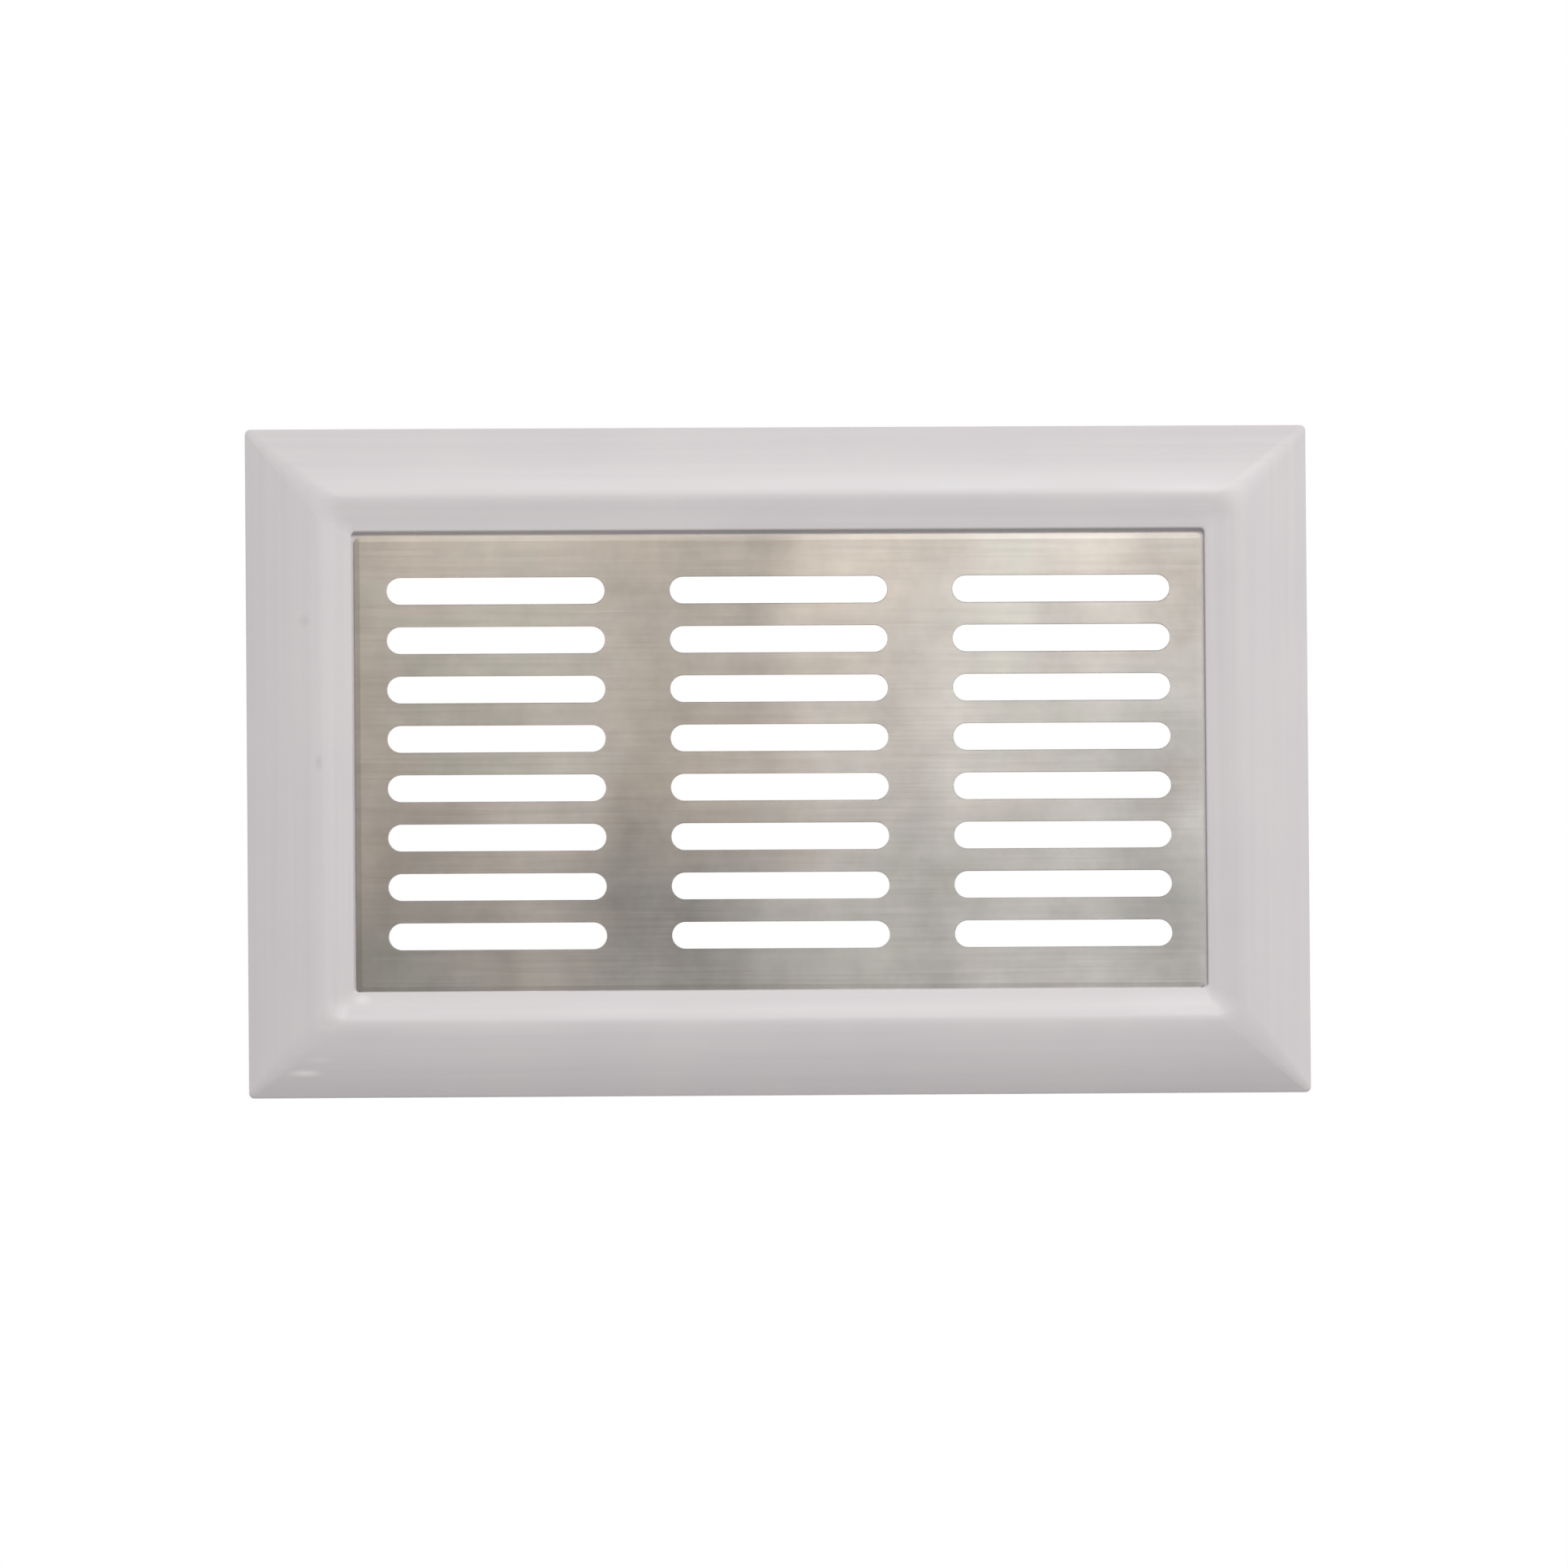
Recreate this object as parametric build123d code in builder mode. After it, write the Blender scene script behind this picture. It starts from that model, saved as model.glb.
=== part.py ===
from build123d import *
import os

# Ventilation grille: a moulded plastic frame with a slotted stainless plate set into its front.
# X runs along the long sides, Z up the wall, and the front faces -Y.
# The origin is the middle of the back plane, which lies on the wall.

# Slot pattern, which sets the size of the plate
columns = 3
rows = 8
slot_length = 61.8
slot_width = 7.6
post_width = 18.5  # metal between two columns
bar_width = 6.4  # metal between two rows
side_margin = 9.2
end_margin = 11.8

# Plate, bedded on the ledge and standing on the lower wall of its recess
plate_thickness = 0.8
plate_sink = 1.2  # from the lip down to the plate's face
top_gap = 1.3
side_gap = 0.8
plate_corner_radius = 1.8
slot_edge_break = 0.2
edge_roll_width = 1.5  # of the edge that the shears bent back
edge_roll_drop = 0.04

# Frame section, bands from the outer edge inwards
outer_face_width = 20.6
upper_slope_width = 4.6
lower_slope_width = 4.5
ledge_width = 6.0

# Frame section, heights from the wall outwards
edge_height = 3.0
outer_face_rise = 11.0
outer_face_bulge = 1.7  # of the arc over its chord
upper_slope_drop = 1.6
lower_slope_drop = 0.9

# Softened edges of the section
edge_radius = 1.2
crown_radius = 8.0
slope_radius = 16.0  # of the hollow between the two slopes
lip_radius = 0.7

# Corners of the frame seen from the front, tight at the edge and the lip and soft along the crown
edge_corner_radius = 1.5
crown_corner_radius = 6.0
lip_corner_radius = 1.2

# Loops that the front is lofted through, and how near a height an edge of theirs is looked for
front_loops = 28
height_tolerance = 0.01

# Hollow ribbed back
wall_thickness = 2.4
rib_thickness = 1.6
rib_pitch = 38.0
rib_setback = 1.0  # from the wall to the ribs

# Sizes that follow
plate_width = columns * slot_length + (columns - 1) * post_width + 2 * side_margin
plate_height = rows * slot_width + (rows - 1) * bar_width + 2 * end_margin
recess_width = plate_width + 2 * side_gap
recess_height = plate_height + top_gap
member_width = outer_face_width + upper_slope_width + lower_slope_width
section_width = member_width + ledge_width
overall_width = recess_width + 2 * member_width
overall_height = recess_height + 2 * member_width
crown_height = edge_height + outer_face_rise
slope_height = crown_height - upper_slope_drop
lip_height = slope_height - lower_slope_drop
ledge_height = lip_height - plate_sink - plate_thickness
rib_columns = int(recess_width // rib_pitch)
rib_rows = int(recess_height // rib_pitch)

# Corners of the section, each by its distance inwards from the outer edge and its height
edge = (0, edge_height)
crown = (outer_face_width, crown_height)
slope = (outer_face_width + upper_slope_width, slope_height)
lip = (member_width, lip_height)
recess = (member_width, ledge_height)
ledge = (section_width, ledge_height)

# The section is drawn at the middle of the bottom member, its first axis running inwards
section_plane = Plane(origin=(0, 0, -overall_height / 2), x_dir=(0, 0, 1), z_dir=(1, 0, 0))


def outer_loop() -> Wire:
    """Outer edge of the frame on the wall, from the middle of the bottom member round."""
    right = overall_width / 2
    top = overall_height / 2
    corners = [(0, -top), (right, -top), (right, top), (-right, top), (-right, -top)]
    with BuildLine(Plane.XZ) as loop:
        Polyline(*corners, close=True)
    return loop.wire()


def front_line() -> Wire:
    """Line of the section along the front, from the outer edge over the crown to the lip."""
    with BuildLine() as line:
        SagittaArc(edge, crown, outer_face_bulge)
        Polyline(crown, slope, lip)
        fillet(line.vertices().sort_by(Axis.Y)[-1], crown_radius)
        fillet(line.vertices().sort_by(Axis.X)[-2], slope_radius)
    return line.wire()


def corner_radius(inwards: float) -> float:
    """Corner radius of a loop round the front, by its distance inwards from the outer edge."""
    if inwards < outer_face_width:
        share = inwards / outer_face_width
        return edge_corner_radius + share * (crown_corner_radius - edge_corner_radius)
    share = (member_width - inwards) / (member_width - outer_face_width)
    return lip_corner_radius + share * (crown_corner_radius - lip_corner_radius)


# Space inside the moulding, open to the wall and divided by the ribs
with BuildPart() as hollow:
    with BuildSketch(section_plane):
        with BuildLine():
            foot = -2 * wall_thickness
            Line((0, foot), edge)
            SagittaArc(edge, crown, outer_face_bulge)
            Polyline(crown, slope, lip, recess, ledge, (section_width, foot), (0, foot))
        make_face()
        offset(amount=-wall_thickness, kind=Kind.INTERSECTION, mode=Mode.REPLACE)
        with Locations((section_width / 2, rib_setback)):
            Rectangle(rib_thickness, crown_height, align=(Align.CENTER, Align.MIN), mode=Mode.SUBTRACT)
    sweep(path=outer_loop(), transition=Transition.RIGHT)
    with BuildSketch(Plane.XZ.offset(rib_setback)):
        with GridLocations(rib_pitch, overall_height - section_width, rib_columns, 2):
            Rectangle(rib_thickness, section_width)
        with GridLocations(overall_width - section_width, rib_pitch, 2, rib_rows):
            Rectangle(section_width, rib_thickness)
    extrude(amount=crown_height, mode=Mode.SUBTRACT)

# Frame, one moulding whose front is lofted from the outer edge over the crown to the lip
with BuildPart() as frame:
    front = front_line()
    for step in range(front_loops + 1):
        point = front @ (step / front_loops)
        with BuildSketch(Plane.XZ.offset(point.Y)):
            RectangleRounded(overall_width - 2 * point.X, overall_height - 2 * point.X, corner_radius(point.X))
    loft()
    with BuildSketch(Plane.XZ):
        RectangleRounded(overall_width, overall_height, edge_corner_radius)
    extrude(amount=edge_height)
    with BuildSketch(Plane.XZ.offset(ledge_height)):
        RectangleRounded(recess_width, recess_height, lip_corner_radius)
    extrude(amount=crown_height, mode=Mode.SUBTRACT)
    with BuildSketch(Plane.XZ):
        Rectangle(overall_width - 2 * section_width, overall_height - 2 * section_width)
    extrude(amount=ledge_height, mode=Mode.SUBTRACT)
    for height, radius in ((edge_height, edge_radius), (lip_height, lip_radius)):
        fillet(
            frame.edges().filter_by_position(Axis.Y, -height - height_tolerance, -height + height_tolerance),
            radius,
        )
    add(hollow.part, mode=Mode.SUBTRACT)

# Plate, one flat blank with obround slots, its edge bent back a little by the shears
with BuildPart() as grille_plate:
    with BuildSketch(Plane.XZ.offset(ledge_height)):
        with Locations((0, -top_gap / 2)):
            RectangleRounded(plate_width, plate_height, plate_corner_radius)
            with GridLocations(slot_length + post_width, slot_width + bar_width, columns, rows):
                SlotOverall(slot_length, slot_width, mode=Mode.SUBTRACT)
    extrude(amount=plate_thickness)
    face = grille_plate.faces().sort_by(Axis.Y)[0]
    chamfer(face.outer_wire().edges(), edge_roll_width, edge_roll_drop, reference=face)
    face = grille_plate.faces().sort_by(Axis.Y)[0]
    chamfer([rim for slot in face.inner_wires() for rim in slot.edges()], slot_edge_break)

frame.part.label = "frame"
grille_plate.part.label = "grille_plate"

os.makedirs("parts", exist_ok=True)
export_step(frame.part, "parts/frame.step")
export_step(grille_plate.part, "parts/grille_plate.step")
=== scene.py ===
"""Ventilation grille in a plain studio.

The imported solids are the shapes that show. This script gives them their finishes and builds the
floor, the lamp, the backdrop and the camera round them, all in the frame of the solids.
Lengths are in metres, except where a name ends in _mm.
"""

import logging
import math
from dataclasses import dataclass
from enum import Enum

import bmesh
import bpy
from mathutils import Matrix, Vector

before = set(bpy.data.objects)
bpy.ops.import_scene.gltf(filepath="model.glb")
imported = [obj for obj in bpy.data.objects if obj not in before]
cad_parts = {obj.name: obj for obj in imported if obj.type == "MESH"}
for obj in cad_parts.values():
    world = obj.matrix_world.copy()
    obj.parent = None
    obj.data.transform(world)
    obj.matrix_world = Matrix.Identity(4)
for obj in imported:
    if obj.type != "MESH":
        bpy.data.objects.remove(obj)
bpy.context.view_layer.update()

log = logging.getLogger("ventilation_grille")

Tree = bpy.types.NodeTree
Socket = bpy.types.NodeSocket

MM = 0.001
IMAGE_SIDE_PX = 1932
SENSOR_MM = 36.0

# Middle of a noise, and the two values that most of it lies between
NOISE_MIDDLE = 0.5
NOISE_LOW = 0.3
NOISE_HIGH = 0.7

# Places of the sockets on a Mix node, where those for colours and for numbers share their names
MIX_FACTOR = 0
MIX_COLOUR_A = 6
MIX_COLOUR_B = 7
MIX_COLOUR_OUT = 2
MIX_NUMBER_A = 2
MIX_NUMBER_B = 3
MIX_NUMBER_OUT = 0


class Solid(Enum):
    """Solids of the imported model."""

    FRAME = "frame"
    PLATE = "grille_plate"


class Slot(Enum):
    """Material slots of the record."""

    FRAME = "frame_plastic"
    PLATE = "plate_steel"


def linear(hex_colour: str) -> tuple[float, float, float, float]:
    """Turns an sRGB colour into the linear one that shaders take.

    Args:
        hex_colour: Colour as #RRGGBB.

    Returns:
        Red, green, blue and an alpha of 1.
    """
    channels = []
    for place in (1, 3, 5):
        value = int(hex_colour[place : place + 2], 16) / 255
        channels.append(value / 12.92 if value <= 0.04045 else ((value + 0.055) / 1.055) ** 2.4)
    return (channels[0], channels[1], channels[2], 1.0)


def add_node(
    tree: Tree,
    kind: str,
    inputs: dict[str | int, object] | None = None,
    **settings: object,
) -> bpy.types.Node:
    """Adds a node with its settings and links.

    Args:
        tree: Node tree that takes the node.
        kind: Type of the node, without its ShaderNode prefix.
        inputs: Value of each input by name or place, or the socket that it is linked from, or a
            node, which stands for its first output.
        settings: The node's own properties.

    Returns:
        The new node.
    """
    made = tree.nodes.new("ShaderNode" + kind)
    for name, value in settings.items():
        setattr(made, name, value)
    for place, value in (inputs or {}).items():
        source = value.outputs[0] if isinstance(value, bpy.types.Node) else value
        if isinstance(source, Socket):
            tree.links.new(source, made.inputs[place])
        else:
            made.inputs[place].default_value = source
    return made


def new_material(name: str) -> bpy.types.Material:
    """Makes an empty node material.

    Args:
        name: Name of the material.

    Returns:
        The material, with no nodes yet.
    """
    material = bpy.data.materials.new(name)
    material.use_nodes = True
    material.node_tree.nodes.clear()
    return material


def millimetres(tree: Tree) -> Socket:
    """Gives the place on a piece in millimetres.

    Args:
        tree: Node tree of the material.

    Returns:
        Socket with the Object coordinates in millimetres.
    """
    coords = add_node(tree, "TexCoord").outputs["Object"]
    scaled = add_node(tree, "VectorMath", {0: coords, "Scale": 1 / MM}, operation="SCALE")
    return scaled.outputs[0]


@dataclass(frozen=True)
class Mark:
    """Soft spot on the moulding: the grey ones are specks, the pale ones painted highlights."""

    centre_mm: tuple[float, float, float]
    reach_mm: tuple[float, float, float]
    colour: str
    share: float

    def over(self, tree: Tree, place: Socket, colour: Socket) -> Socket:
        """Lays the mark over a colour.

        Args:
            tree: Node tree of the material.
            place: Socket with the place in millimetres.
            colour: Socket with the colour under the mark.

        Returns:
            Socket with the colour and the mark.
        """
        away = add_node(tree, "VectorMath", {0: place, 1: self.centre_mm}, operation="SUBTRACT")
        scaled = add_node(tree, "VectorMath", {0: away, 1: self.reach_mm}, operation="DIVIDE")
        length = add_node(tree, "VectorMath", {0: scaled}, operation="LENGTH").outputs["Value"]
        spot = add_node(
            tree,
            "MapRange",
            {"Value": length, "From Max": 1.0, "To Min": self.share, "To Max": 0.0},
            interpolation_type="SMOOTHSTEP",
        )
        mixed = add_node(
            tree,
            "Mix",
            {MIX_FACTOR: spot, MIX_COLOUR_A: colour, MIX_COLOUR_B: linear(self.colour)},
            data_type="RGBA",
        )
        return mixed.outputs[MIX_COLOUR_OUT]


# PVC, injection moulded against a finely blasted steel mould. The eye sees an even satin white
# with a faint lilac cast, soft flow lines drawn out along each member, a slight orange peel and
# two faint grey specks. Three pale spots near the lower left corner are painted highlights.
@dataclass(frozen=True)
class MouldedPvc:
    """Finish of the surround."""

    name: str = "moulded_pvc"
    clean: str = "#E0DBDC"
    cloudy: str = "#DAD6D9"
    # Part of the pattern's range over which one white goes into the other
    blend_span: float = 0.5
    roughness_low: float = 0.41
    roughness_high: float = 0.49
    ior: float = 1.53
    mottle_mm: float = 45.0
    mottle_detail: float = 3.0
    mottle_grain: float = 0.6
    flow_line_mm: float = 2.2
    flow_length_mm: float = 140.0
    flow_detail: float = 2.0
    flow_share: float = 0.85
    flow_height_mm: float = 0.002
    peel_mm: float = 1.3
    peel_detail: float = 1.0
    peel_height_mm: float = 0.004
    specks_and_highlights: tuple[Mark, ...] = (
        # Two faint grey specks on the left member
        Mark((-134.8, -13.0, 40.0), (2.6, 2.5, 2.6), "#8F8B8B", 0.14),
        Mark((-130.9, -13.6, -0.3), (1.6, 2.0, 3.2), "#8F8B8B", 0.17),
        # Painted highlights: two glints beside the lower left mitre, one at the lip's lower left
        # corner
        Mark((-135.3, -8.3, -88.1), (6.5, 2.6, 1.4), "#FBF9F9", 0.75),
        Mark((-131.4, -10.5, -84.4), (6.0, 2.5, 1.5), "#FBF9F9", 0.2),
        Mark((-118.9, -11.9, -67.4), (3.4, 2.2, 2.2), "#FBF9F9", 0.4),
    )

    def material(self, half_width_mm: float, half_height_mm: float) -> bpy.types.Material:
        """Builds the material.

        Args:
            half_width_mm: Half of the surround along X.
            half_height_mm: Half of the surround along Z.

        Returns:
            The material, patterned to the surround's mitres.
        """
        material = new_material(self.name)
        tree = material.node_tree
        place = millimetres(tree)
        mottle = add_node(
            tree,
            "TexNoise",
            {
                "Vector": place,
                "Scale": 1 / self.mottle_mm,
                "Detail": self.mottle_detail,
                "Roughness": self.mottle_grain,
            },
        ).outputs[0]
        flow = self.flow_lines(tree, place, half_width_mm, half_height_mm)
        peel = add_node(
            tree,
            "TexNoise",
            {"Vector": place, "Scale": 1 / self.peel_mm, "Detail": self.peel_detail},
        )
        gloss = add_node(
            tree,
            "MapRange",
            {
                "Value": mottle,
                "From Min": NOISE_LOW,
                "From Max": NOISE_HIGH,
                "To Min": self.roughness_low,
                "To Max": self.roughness_high,
            },
        )
        flow_bump = add_node(
            tree,
            "Bump",
            {"Height": flow, "Distance": self.flow_height_mm * MM, "Strength": 1.0},
        )
        peel_bump = add_node(
            tree,
            "Bump",
            {
                "Height": peel,
                "Distance": self.peel_height_mm * MM,
                "Strength": 1.0,
                "Normal": flow_bump,
            },
        )
        shader = add_node(
            tree,
            "BsdfPrincipled",
            {
                "Base Color": self.colour(tree, place, mottle, flow),
                "Roughness": gloss,
                "IOR": self.ior,
                "Normal": peel_bump,
            },
        )
        add_node(tree, "OutputMaterial", {"Surface": shader})
        return material

    def flow_lines(
        self, tree: Tree, place: Socket, half_width_mm: float, half_height_mm: float
    ) -> Socket:
        """Draws the flow lines out along each member, so that they meet at the mitres.

        Args:
            tree: Node tree of the material.
            place: Socket with the place in millimetres.
            half_width_mm: Half of the surround along X.
            half_height_mm: Half of the surround along Z.

        Returns:
            Socket with the pattern of the lines.
        """
        parts = add_node(tree, "SeparateXYZ", {0: place})
        x, z = parts.outputs["X"], parts.outputs["Z"]
        across = add_node(tree, "Math", {0: x}, operation="ABSOLUTE")
        upward = add_node(tree, "Math", {0: z}, operation="ABSOLUTE")
        from_side = add_node(tree, "Math", {0: half_width_mm, 1: across}, operation="SUBTRACT")
        from_end = add_node(tree, "Math", {0: half_height_mm, 1: upward}, operation="SUBTRACT")
        inward = add_node(tree, "Math", {0: from_side, 1: from_end}, operation="MINIMUM")
        along = add_node(tree, "Math", {0: x, 1: z}, operation="ADD")
        stretch = self.flow_line_mm / self.flow_length_mm
        stretched = add_node(tree, "Math", {0: along, 1: stretch}, operation="MULTIPLY")
        drawn = add_node(tree, "CombineXYZ", {"X": inward, "Y": stretched})
        lines = add_node(
            tree,
            "TexNoise",
            {"Vector": drawn, "Scale": 1 / self.flow_line_mm, "Detail": self.flow_detail},
        )
        return lines.outputs[0]

    def colour(self, tree: Tree, place: Socket, mottle: Socket, flow: Socket) -> Socket:
        """Mixes the two whites by the mottle and the flow lines, and lays the specks and painted
        highlights over them.

        Args:
            tree: Node tree of the material.
            place: Socket with the place in millimetres.
            mottle: Socket with the pattern of the mottle.
            flow: Socket with the pattern of the flow lines.

        Returns:
            Socket with the colour.
        """
        total = add_node(
            tree, "Math", {0: flow, 1: self.flow_share, 2: mottle}, operation="MULTIPLY_ADD"
        )
        middle = NOISE_MIDDLE + NOISE_MIDDLE * self.flow_share
        share = add_node(
            tree,
            "MapRange",
            {
                "Value": total,
                "From Min": middle - self.blend_span / 2,
                "From Max": middle + self.blend_span / 2,
            },
        )
        whites = add_node(
            tree,
            "Mix",
            {
                MIX_FACTOR: share,
                MIX_COLOUR_A: linear(self.cloudy),
                MIX_COLOUR_B: linear(self.clean),
            },
            data_type="RGBA",
        )
        colour = whites.outputs[MIX_COLOUR_OUT]
        for mark in self.specks_and_highlights:
            colour = mark.over(tree, place, colour)
        return colour


@dataclass(frozen=True)
class Patches:
    """Soft noise patches laid over the sheet's colour, the same on its front and back."""

    width_mm: float
    height_mm: float
    # Place in the noise that falls on the origin, so that the patches lie as on the real plate
    start: tuple[float, float, float]
    # Finer steps in the noise, and the strength of each as a share of the step before it
    detail: float
    grain: float
    contrast: float

    def noise(self, tree: Tree, place: Socket) -> Socket:
        """Lays the patches over the sheet.

        Args:
            tree: Node tree of the material.
            place: Socket with the place in millimetres.

        Returns:
            Socket with the noise, before its contrast.
        """
        spread = add_node(
            tree,
            "VectorMath",
            {0: place, 1: (1 / self.width_mm, 0, 1 / self.height_mm), 2: self.start},
            operation="MULTIPLY_ADD",
        )
        noise = add_node(
            tree,
            "TexNoise",
            {"Vector": spread, "Scale": 1.0, "Detail": self.detail, "Roughness": self.grain},
        )
        return noise.outputs[0]


# Stainless steel sheet, brushed on a belt along the slots. The eye sees fine lines along X, a
# sheen that is drawn out up and down across them, soft upright clouds that are painted
# reflections, smears that break up into fine smudges and carry part of the painted reflection, a
# warm film at the upper left that thins out towards the lower right, and here and there a
# greenish trace of oil.
@dataclass(frozen=True)
class BrushedStainless:
    """Finish of the slotted plate."""

    name: str = "brushed_stainless"
    steel: str = "#CFCCC9"
    warm: str = "#D7CBBF"
    oil: str = "#CDCCBD"
    roughness_low: float = 0.33
    roughness_high: float = 0.35
    anisotropy: float = 0.6
    # A quarter turn, so that the sheen runs across the lines
    anisotropy_turn: float = 0.25
    # The real lines are about 0.1 mm apart, which is too fine to show, so they are drawn coarser
    line_mm: float = 0.7
    line_length_mm: float = 45.0
    line_height_mm: float = 0.001
    line_detail: float = 2.0
    line_grain: float = 0.6
    line_contrast: float = 0.04
    # Painted reflection: lighter and darker upright clouds, drawn out as the sheen is
    painted_reflection_clouds: Patches = Patches(
        width_mm=55.0,
        height_mm=140.0,
        start=(-7.485, 7.4, 33.13),
        detail=2.0,
        grain=0.5,
        contrast=1.2,
    )
    # Smudges, which also carry part of the painted reflection
    smears_and_painted_reflection: Patches = Patches(
        width_mm=34.0,
        height_mm=34.0,
        start=(61.696, 3.7, 46.799),
        detail=4.0,
        grain=0.7,
        contrast=0.71,
    )
    film: Patches = Patches(
        width_mm=60.0,
        height_mm=60.0,
        start=(-22.917, 3.7, 19.942),
        detail=5.0,
        grain=0.65,
        contrast=1.5,
    )
    # Way that the film thins out, from the upper left corner of the plate to the lower right one
    film_width_mm: float = 400.0
    film_height_mm: float = 320.0
    # Part of the pattern's range over which the film goes into bare steel
    film_span: float = 1.0
    # Values of the film's pattern at which the oil starts to show and shows most
    oil_start: float = 0.513
    oil_full: float = 0.619
    oil_share: float = 0.4

    def material(self) -> bpy.types.Material:
        """Builds the material.

        Returns:
            The material, brushed along X.
        """
        material = new_material(self.name)
        tree = material.node_tree
        place = millimetres(tree)
        drawn = add_node(
            tree,
            "VectorMath",
            {0: place, 1: (1 / self.line_length_mm, 1 / self.line_mm, 1 / self.line_mm)},
            operation="MULTIPLY",
        )
        lines = add_node(
            tree,
            "TexNoise",
            {
                "Vector": drawn,
                "Scale": 1.0,
                "Detail": self.line_detail,
                "Roughness": self.line_grain,
            },
        ).outputs[0]
        # The steel's colour is scaled by the painted reflection, the smears and the lines
        colour = add_node(
            tree,
            "VectorMath",
            {0: self.colour(tree, place), "Scale": self.brightness(tree, place, lines)},
            operation="SCALE",
        )
        gloss = add_node(
            tree,
            "MapRange",
            {
                "Value": lines,
                "From Min": NOISE_LOW,
                "From Max": NOISE_HIGH,
                "To Min": self.roughness_low,
                "To Max": self.roughness_high,
            },
        )
        line_bump = add_node(
            tree,
            "Bump",
            {"Height": lines, "Distance": self.line_height_mm * MM, "Strength": 1.0},
        )
        shader = add_node(
            tree,
            "BsdfPrincipled",
            {
                "Base Color": colour,
                "Metallic": 1.0,
                "Roughness": gloss,
                "Anisotropic": self.anisotropy,
                "Anisotropic Rotation": self.anisotropy_turn,
                "Normal": line_bump,
            },
        )
        add_node(tree, "OutputMaterial", {"Surface": shader})
        return material

    def colour(self, tree: Tree, place: Socket) -> Socket:
        """Mixes the colour of the bare steel with the warm film and the oil on it.

        Args:
            tree: Node tree of the material.
            place: Socket with the place in millimetres.

        Returns:
            Socket with the colour.
        """
        across = add_node(
            tree,
            "VectorMath",
            {0: place, 1: (1 / self.film_width_mm, 0, -1 / self.film_height_mm)},
            operation="DOT_PRODUCT",
        ).outputs["Value"]
        traces = self.film.noise(tree, place)
        thinned = add_node(
            tree, "Math", {0: traces, 1: self.film.contrast, 2: across}, operation="MULTIPLY_ADD"
        )
        middle = NOISE_MIDDLE * self.film.contrast
        bare = add_node(
            tree,
            "MapRange",
            {
                "Value": thinned,
                "From Min": middle - self.film_span / 2,
                "From Max": middle + self.film_span / 2,
            },
            interpolation_type="SMOOTHSTEP",
        )
        filmed = add_node(
            tree,
            "Mix",
            {
                MIX_FACTOR: bare,
                MIX_COLOUR_A: linear(self.warm),
                MIX_COLOUR_B: linear(self.steel),
            },
            data_type="RGBA",
        ).outputs[MIX_COLOUR_OUT]
        patches = add_node(
            tree,
            "MapRange",
            {
                "Value": traces,
                "From Min": self.oil_start,
                "From Max": self.oil_full,
                "To Max": self.oil_share,
            },
            interpolation_type="SMOOTHSTEP",
        )
        oiled = add_node(
            tree,
            "Mix",
            {MIX_FACTOR: patches, MIX_COLOUR_A: filmed, MIX_COLOUR_B: linear(self.oil)},
            data_type="RGBA",
        )
        return oiled.outputs[MIX_COLOUR_OUT]

    def brightness(self, tree: Tree, place: Socket, lines: Socket) -> Socket:
        """Adds up the painted reflection in the clouds, the smears with their share of it, and
        the lines.

        Args:
            tree: Node tree of the material.
            place: Socket with the place in millimetres.
            lines: Socket with the pattern of the lines.

        Returns:
            Socket with the factor on the steel's colour, about 1, that holds the painted
            reflection.
        """
        total = 1.0
        for pattern, contrast in (
            (self.painted_reflection_clouds.noise(tree, place), self.painted_reflection_clouds.contrast),
            (self.smears_and_painted_reflection.noise(tree, place), self.smears_and_painted_reflection.contrast),
            (lines, self.line_contrast),
        ):
            offset = add_node(tree, "Math", {0: pattern, 1: NOISE_MIDDLE}, operation="SUBTRACT")
            total = add_node(
                tree, "Math", {0: offset, 1: contrast, 2: total}, operation="MULTIPLY_ADD"
            ).outputs[0]
        return total


# Studio floor, rolled with matt white paint. The eye sees a pale even ground that fades into the
# backdrop.
@dataclass(frozen=True)
class MattPaint:
    """Finish of the floor."""

    name: str = "matt_floor_paint"
    paint: str = "#F1F0EF"
    white: str = "#FFFFFF"
    roughness: float = 0.7
    roller_mm: float = 12.0
    roller_detail: float = 2.0
    roller_height_mm: float = 0.1
    roller_strength: float = 0.3

    def material(self, fade_start: float, fade_end: float) -> bpy.types.Material:
        """Builds the material.

        Args:
            fade_start: Distance from the middle at which the paint starts to fade out.
            fade_end: Distance at which only the backdrop's white is left.

        Returns:
            The material, which keeps shadows near the middle.
        """
        material = new_material(self.name)
        tree = material.node_tree
        place = millimetres(tree)
        roller = add_node(
            tree,
            "TexNoise",
            {"Vector": place, "Scale": 1 / self.roller_mm, "Detail": self.roller_detail},
        )
        bump = add_node(
            tree,
            "Bump",
            {
                "Height": roller,
                "Distance": self.roller_height_mm * MM,
                "Strength": self.roller_strength,
            },
        )
        paint = add_node(
            tree,
            "BsdfPrincipled",
            {"Base Color": linear(self.paint), "Roughness": self.roughness, "Normal": bump},
        )
        white = add_node(tree, "Emission", {"Color": linear(self.white), "Strength": 1.0})
        flat = add_node(tree, "VectorMath", {0: place, 1: (MM, MM, 0)}, operation="MULTIPLY")
        away = add_node(tree, "VectorMath", {0: flat}, operation="LENGTH").outputs["Value"]
        fade = add_node(
            tree,
            "MapRange",
            {"Value": away, "From Min": fade_start, "From Max": fade_end},
            interpolation_type="SMOOTHSTEP",
        )
        faded = add_node(tree, "Math", {0: fade, 1: background_rays(tree)}, operation="MULTIPLY")
        shader = add_node(tree, "MixShader", {0: faded, 1: paint, 2: white})
        add_node(tree, "OutputMaterial", {"Surface": shader})
        return material


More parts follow.
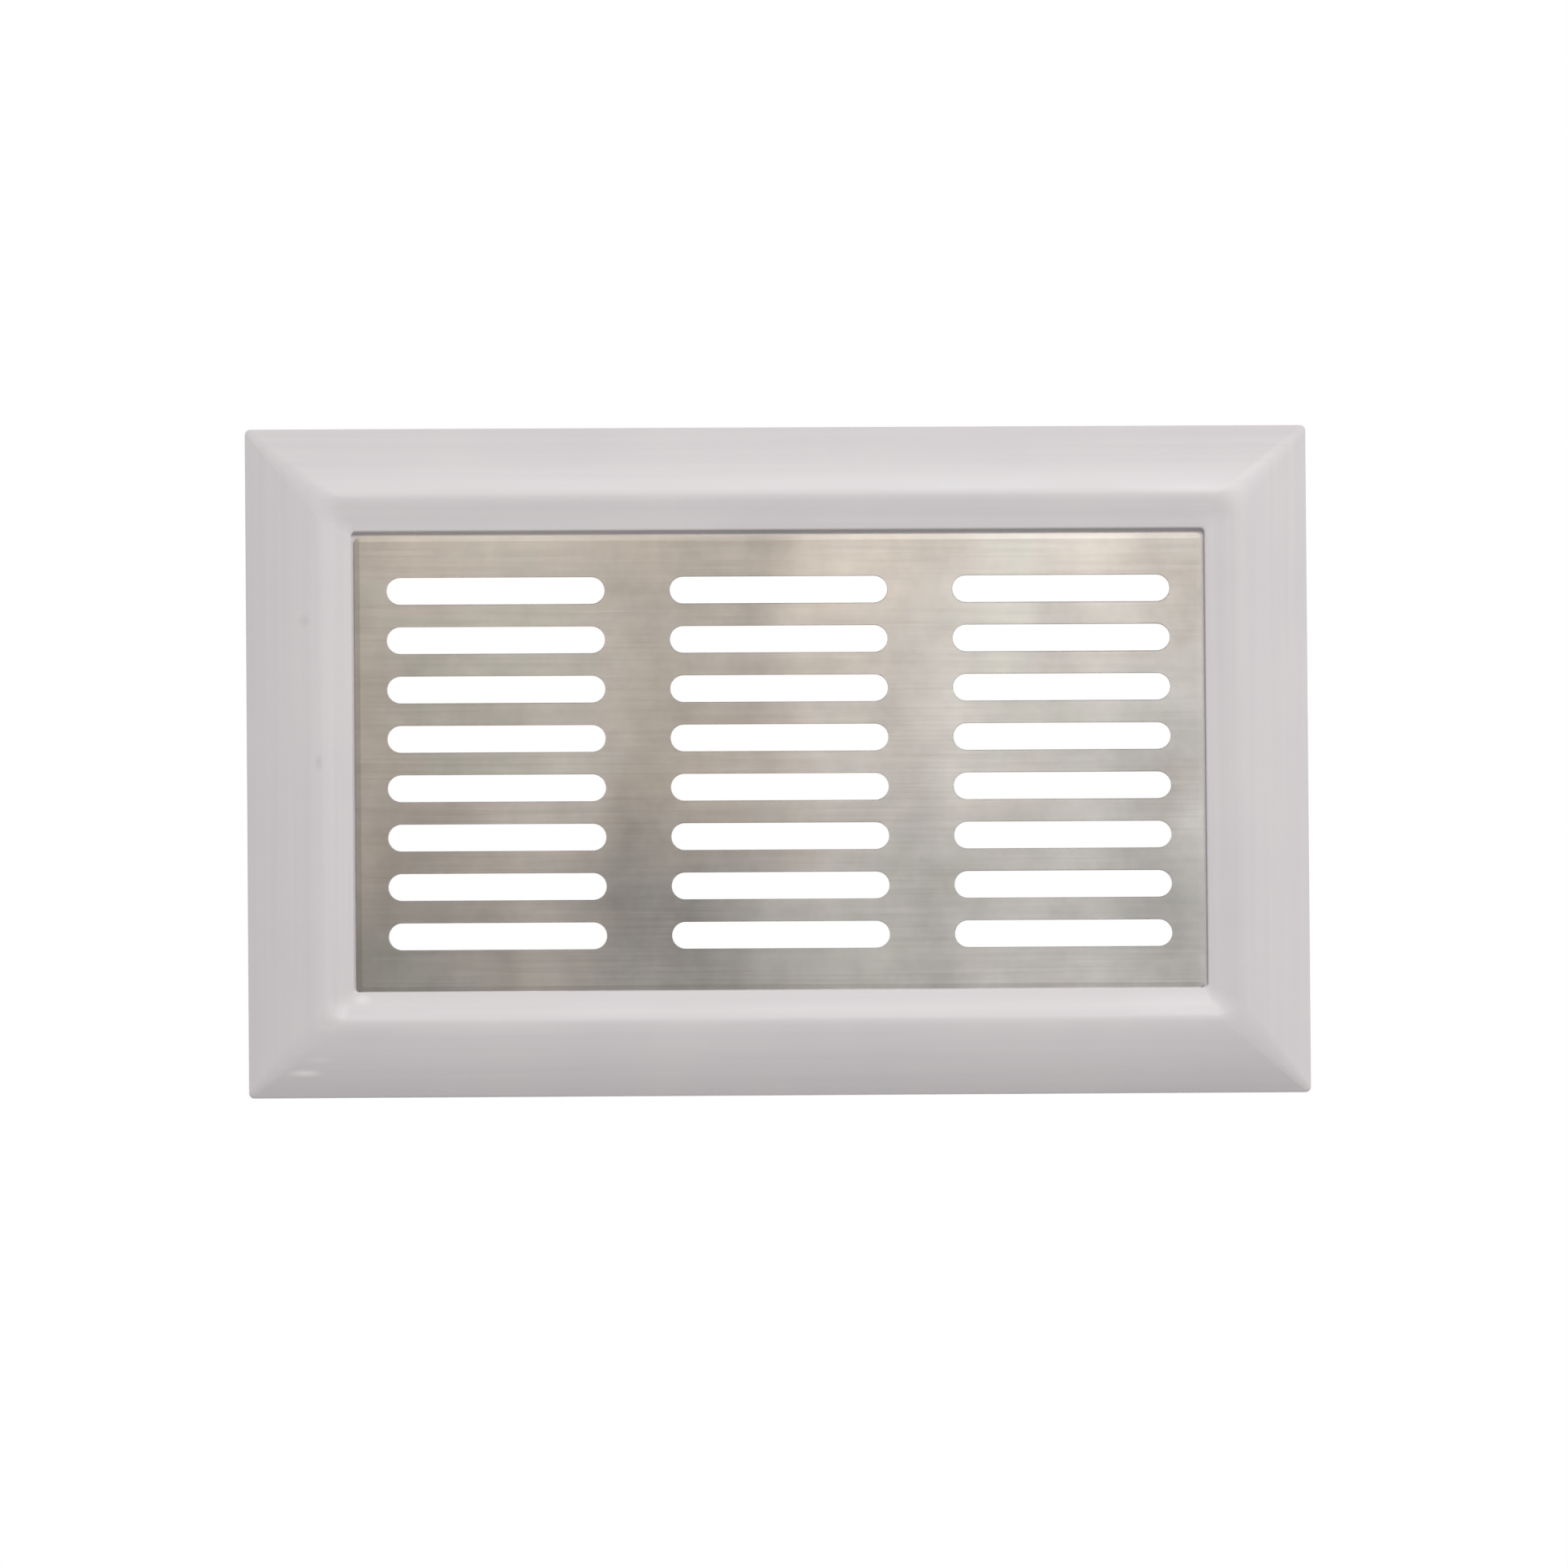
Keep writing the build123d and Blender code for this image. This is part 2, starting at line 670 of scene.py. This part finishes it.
def background_rays(tree: Tree) -> Socket:
    """Tells the rays that show the white background from those that light the object.

    Args:
        tree: Node tree of the floor or the world.

    Returns:
        Socket that is 1 for camera, glossy and transmission rays and 0 for the rest.
    """
    rays = add_node(tree, "LightPath").outputs
    mirrored = add_node(
        tree,
        "Math",
        {0: rays["Is Glossy Ray"], 1: rays["Is Transmission Ray"]},
        operation="MAXIMUM",
    )
    shown = add_node(tree, "Math", {0: rays["Is Camera Ray"], 1: mirrored}, operation="MAXIMUM")
    return shown.outputs[0]


@dataclass
class Surround:
    """Moulded frame that goes round the plate."""

    finish: MouldedPvc
    half_width_mm: float = 150.9
    half_height_mm: float = 94.95

    def dress(self) -> bpy.types.Object:
        """Gives the frame its finish.

        Returns:
            The frame's object.
        """
        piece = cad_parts[Solid.FRAME.value]
        piece.data.materials.clear()
        piece.data.materials.append(self.finish.material(self.half_width_mm, self.half_height_mm))
        return piece


@dataclass
class SlottedPlate:
    """Steel plate with the slots that the air goes through."""

    finish: BrushedStainless

    def dress(self) -> bpy.types.Object:
        """Gives the plate its finish.

        Returns:
            The plate's object.
        """
        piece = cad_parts[Solid.PLATE.value]
        piece.data.materials.clear()
        piece.data.materials.append(self.finish.material())
        return piece


@dataclass
class Floor:
    """Pale floor of the studio, well below a grille that hangs on a wall."""

    finish: MattPaint
    name: str = "studio_floor"
    height: float = -1.5
    radius: float = 2.7
    fade_start: float = 1.2
    fade_end: float = 2.6
    segments: int = 96

    def build(self) -> bpy.types.Object:
        """Builds the floor as a disc.

        Returns:
            The floor's object.
        """
        mesh = bpy.data.meshes.new(self.name)
        disc = bmesh.new()
        bmesh.ops.create_circle(disc, cap_ends=True, radius=self.radius, segments=self.segments)
        bmesh.ops.translate(disc, vec=(0, 0, self.height), verts=disc.verts)
        disc.to_mesh(mesh)
        disc.free()
        floor = bpy.data.objects.new(self.name, mesh)
        bpy.context.scene.collection.objects.link(floor)
        floor.data.materials.append(self.finish.material(self.fade_start, self.fade_end))
        return floor


@dataclass(frozen=True)
class Softbox:
    """Square lamp with a diffuser, aimed at the grille from above and a little to the right."""

    name: str = "key_softbox"
    place: tuple[float, float, float] = (0.35, -1.64, 1.11)
    aim: tuple[float, float, float] = (0.0, 0.0, 0.0)
    side: float = 0.5
    # Brightness that the lamp alone gives a white card at the grille, turned towards it
    level: float = 0.48
    tint: str = "#FFFFFD"

    def build(self) -> bpy.types.Object:
        """Builds the lamp.

        Returns:
            The lamp's object.
        """
        reach = Vector(self.aim) - Vector(self.place)
        lamp = bpy.data.lights.new(self.name, "AREA")
        lamp.shape = "SQUARE"
        lamp.size = self.side
        lamp.color = linear(self.tint)[:3]
        # The diffuser and the card both spread their light evenly, which divides it by pi twice
        lamp.energy = self.level * math.pi**2 * reach.length_squared
        made = bpy.data.objects.new(self.name, lamp)
        turn = reach.to_track_quat("-Z", "Y").to_matrix().to_4x4()
        made.matrix_world = Matrix.Translation(self.place) @ turn
        bpy.context.scene.collection.objects.link(made)
        return made


@dataclass(frozen=True)
class Backdrop:
    """White surroundings with a dim opening in front of the grille, where the camera stands."""

    name: str = "studio_backdrop"
    white: str = "#FFFFFF"
    # Brightness straight in front of the grille, and to its sides
    room_level: float = 0.09
    side_level: float = 1.0
    # Share of the way to the front at which the sides start to dim
    side_end: float = 0.55
    # Share of the way up at which the surroundings are brightest
    band_height: float = 0.4
    # What is left of that brightness at the top and at the bottom
    top_share: float = 0.13
    bottom_share: float = 0.5

    def build(self) -> bpy.types.World:
        """Builds the world.

        Returns:
            The world of the scene.
        """
        world = bpy.data.worlds.new(self.name)
        world.use_nodes = True
        tree = world.node_tree
        tree.nodes.clear()
        # Directions of length 1: Y is -1 straight in front of the grille, and Z is 1 straight up
        coords = add_node(tree, "TexCoord").outputs["Generated"]
        parts = add_node(tree, "SeparateXYZ", {0: coords})
        y, z = parts.outputs["Y"], parts.outputs["Z"]
        opening = add_node(
            tree,
            "MapRange",
            {
                "Value": y,
                "From Min": -1.0,
                "From Max": -self.side_end,
                "To Min": self.room_level,
                "To Max": self.side_level,
            },
            interpolation_type="SMOOTHSTEP",
        )
        above = add_node(
            tree,
            "MapRange",
            {"Value": z, "From Min": self.band_height, "To Min": 1.0, "To Max": self.top_share},
        )
        below = add_node(
            tree,
            "MapRange",
            {
                "Value": z,
                "From Min": -1.0,
                "From Max": self.band_height,
                "To Min": self.bottom_share,
            },
        )
        band = add_node(tree, "Math", {0: above, 1: below}, operation="MULTIPLY")
        room = add_node(tree, "Math", {0: opening, 1: band}, operation="MULTIPLY")
        # The camera sees white all round, and the grille's gloss sees it behind the grille
        behind = add_node(tree, "Math", {0: y, 1: 0.0}, operation="GREATER_THAN")
        camera = add_node(tree, "LightPath").outputs["Is Camera Ray"]
        white = add_node(tree, "Math", {0: camera, 1: behind}, operation="MAXIMUM")
        shown = add_node(tree, "Math", {0: white, 1: background_rays(tree)}, operation="MULTIPLY")
        level = add_node(
            tree,
            "Mix",
            {MIX_FACTOR: shown, MIX_NUMBER_A: room, MIX_NUMBER_B: 1.0},
            data_type="FLOAT",
        ).outputs[MIX_NUMBER_OUT]
        light = add_node(tree, "Background", {"Color": linear(self.white), "Strength": level})
        add_node(tree, "OutputWorld", {"Surface": light})
        bpy.context.scene.world = world
        return world


@dataclass(frozen=True)
class Viewpoint:
    """Camera of the photograph, a little left of the grille and a little below it."""

    name: str = "photo_camera"
    # Angles in degrees, from straight in front of the grille
    azimuth: float = -3.0774
    elevation: float = -2.5551
    roll: float = -0.4457
    target_mm: tuple[float, float, float] = (1.318, -7.0, -6.738)
    distance_mm: float = 6000.0
    focal_px: float = 26049.0

    def build(self) -> bpy.types.Object:
        """Builds the camera and makes it the scene's own.

        Returns:
            The camera's object.
        """
        turn = math.radians(self.azimuth)
        rise = math.radians(self.elevation)
        level = Vector((math.cos(turn), math.sin(turn), 0))
        ahead = Vector(
            (-math.sin(turn) * math.cos(rise), math.cos(turn) * math.cos(rise), -math.sin(rise))
        )
        upright = Matrix((level, level.cross(ahead), -ahead)).transposed()
        roll = Matrix.Rotation(math.radians(self.roll), 3, "Z")
        target = Vector(self.target_mm) * MM
        lens = bpy.data.cameras.new(self.name)
        lens.sensor_width = SENSOR_MM
        lens.lens = self.focal_px * SENSOR_MM / IMAGE_SIDE_PX
        camera = bpy.data.objects.new(self.name, lens)
        place = Matrix.Translation(target - ahead * self.distance_mm * MM)
        camera.matrix_world = place @ (upright @ roll).to_4x4()
        bpy.context.scene.collection.objects.link(camera)
        bpy.context.scene.camera = camera
        return camera


def main() -> None:
    """Dresses the grille and builds the studio round it."""
    logging.basicConfig(level=logging.INFO, format="%(name)s: %(message)s")
    bpy.context.scene.view_settings.view_transform = "Standard"
    log.info("dressed %s", Surround(MouldedPvc()).dress().name)
    log.info("dressed %s", SlottedPlate(BrushedStainless()).dress().name)
    log.info("built %s", Floor(MattPaint()).build().name)
    log.info("built %s", Softbox().build().name)
    log.info("built %s", Backdrop().build().name)
    log.info("built %s", Viewpoint().build().name)


if __name__ == "__main__":
    main()
